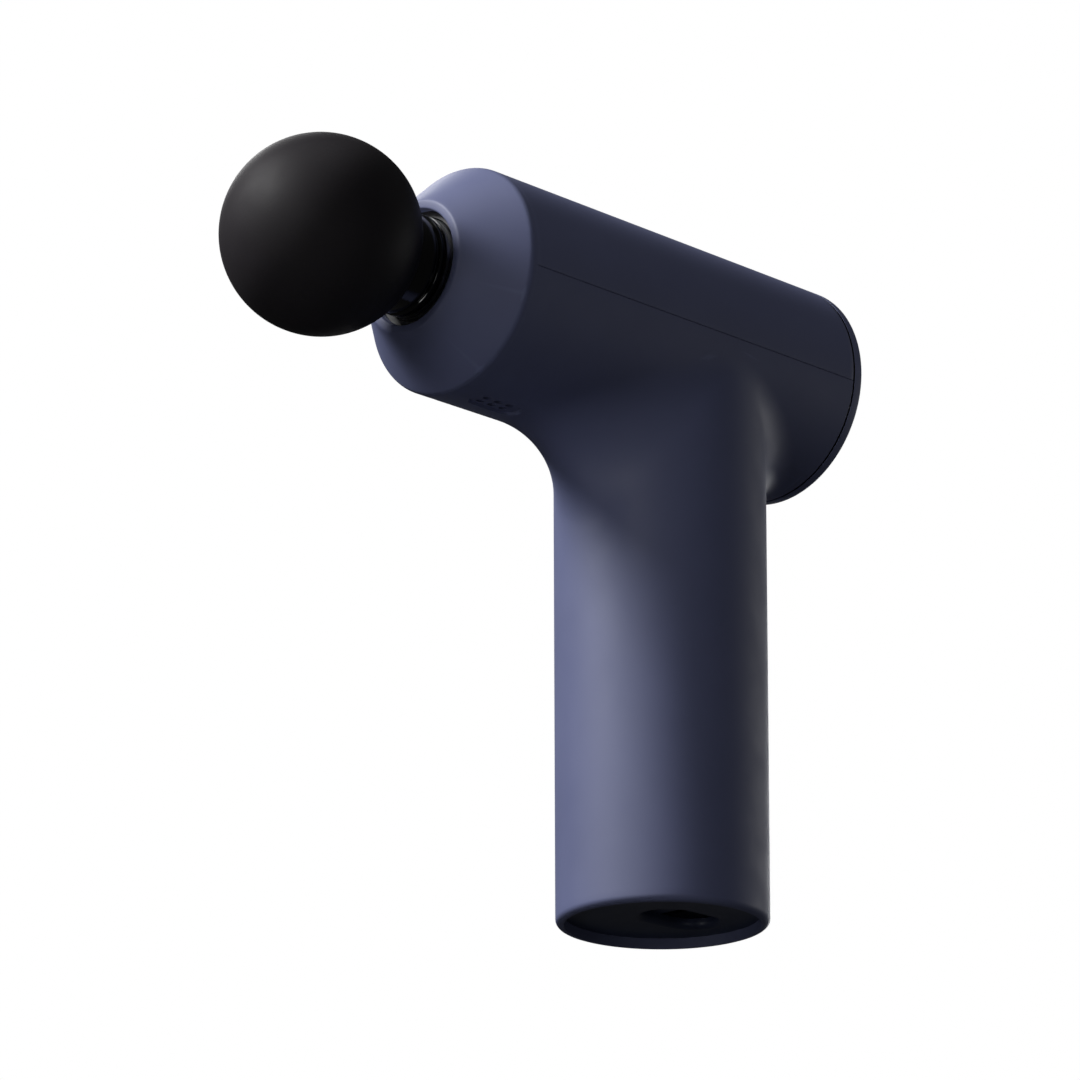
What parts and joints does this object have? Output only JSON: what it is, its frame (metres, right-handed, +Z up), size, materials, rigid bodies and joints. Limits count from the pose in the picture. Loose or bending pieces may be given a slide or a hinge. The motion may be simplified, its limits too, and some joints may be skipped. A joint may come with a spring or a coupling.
{
  "type": "massage gun",
  "caption": "Small cordless massage gun: round ball head on a reciprocating stem, conical nose, cylindrical barrel and a round upright handle with a charging pocket in its base.",
  "frame": {"origin": "centre of the handle's bottom rim, on the surface that the object stands on", "axes": "+Z up along the handle, -X along the barrel towards the massage head, Y across"},
  "size_m": [0.1476, 0.046, 0.1422],
  "materials": {
    "shell_soft_touch": "matte",
    "base_plate_plastic": "satin",
    "head_foam": "matte",
    "gloss_black": "gloss",
    "seal_rubber": "matte",
    "frame_alloy": "satin",
    "inner_plastic": "satin",
    "bearing_polymer": "satin",
    "screw_steel": "satin",
    "ground_steel": "polished",
    "mesh_steel": "satin",
    "motor_alloy": "satin",
    "lamination_steel": "satin",
    "copper_wire": "gloss",
    "rotor_steel": "satin",
    "magnet_nickel": "gloss",
    "bronze": "satin",
    "cell_wrap": "satin",
    "nickel_strip": "satin",
    "board_laminate": "satin",
    "board_component": "satin",
    "lead_insulation": "satin",
    "clear_light": "gloss"
  },
  "bodies": {
    "housing": {"lower_shell": "shell_soft_touch", "nose_cone": "shell_soft_touch", "top_cover": "shell_soft_touch", "rear_cap": "shell_soft_touch", "base_cap": "base_plate_plastic", "nose_seal": "seal_rubber", "vent_mesh": "mesh_steel", "end_plate": "inner_plastic", "end_plate_screws": "screw_steel", "button_board": "board_laminate", "button_switch": "inner_plastic", "indicator_leds": "clear_light", "light_pipes": "clear_light", "battery_cells": "cell_wrap", "battery_holder_bottom": "inner_plastic", "battery_holder_top": "inner_plastic", "battery_tabs": "nickel_strip", "battery_leads": "lead_insulation", "charge_board": "board_laminate", "charge_board_parts": "board_component", "charge_board_screws": "screw_steel", "usb_c_port": "nickel_strip", "drive_frame": "frame_alloy", "frame_screws": "screw_steel", "frame_dampers": "seal_rubber", "linear_bush": "bearing_polymer", "stator_base": "motor_alloy", "stator_core": "lamination_steel", "stator_coils": "copper_wire", "motor_screws": "screw_steel", "motor_bearings": "ground_steel", "motor_leads": "lead_insulation", "main_board": "board_laminate", "main_board_parts": "board_component", "main_board_screws": "screw_steel"},
    "rotor": {"rotor_can": "rotor_steel", "rotor_magnets": "magnet_nickel", "motor_shaft": "ground_steel", "shaft_clip": "ground_steel", "crank_wheel": "ground_steel", "crank_set_screw": "screw_steel"},
    "conrod": {"connecting_rod": "frame_alloy", "big_end_bearing": "ground_steel", "crank_pin": "ground_steel", "small_end_bush": "bronze"},
    "plunger": {"plunger": "frame_alloy", "wrist_pin": "ground_steel", "socket_liner": "bearing_polymer"},
    "head": {"massage_ball": "head_foam", "head_stem": "gloss_black", "shank_orings": "seal_rubber"},
    "button": {"power_button": "shell_soft_touch"}
  },
  "joints": [
    {"name": "rotor_spin", "type": "hinge", "parent": "housing", "child": "rotor", "pos_m": [0, 0, 0.0975], "axis": [0, 0, 1], "continuous": true},
    {"name": "plunger_slide", "type": "slide", "parent": "housing", "child": "plunger", "axis": [-1, 0, 0], "range_m": [0, 0.007]},
    {"name": "conrod_swing", "type": "hinge", "parent": "plunger", "child": "conrod", "pos_m": [-0.0265, 0, 0.1192], "axis": [0, 0, 1], "range_deg": [-6.7, 6.7]},
    {"name": "head_pull", "type": "slide", "parent": "plunger", "child": "head", "axis": [-1, 0, 0], "range_m": [0, 0.022]},
    {"name": "button_press", "type": "slide", "parent": "housing", "child": "button", "axis": [-1, 0, 0], "range_m": [0, 0.0004], "stiffness_N_per_m": 3000, "springref_m": -0.0002}
  ]
}
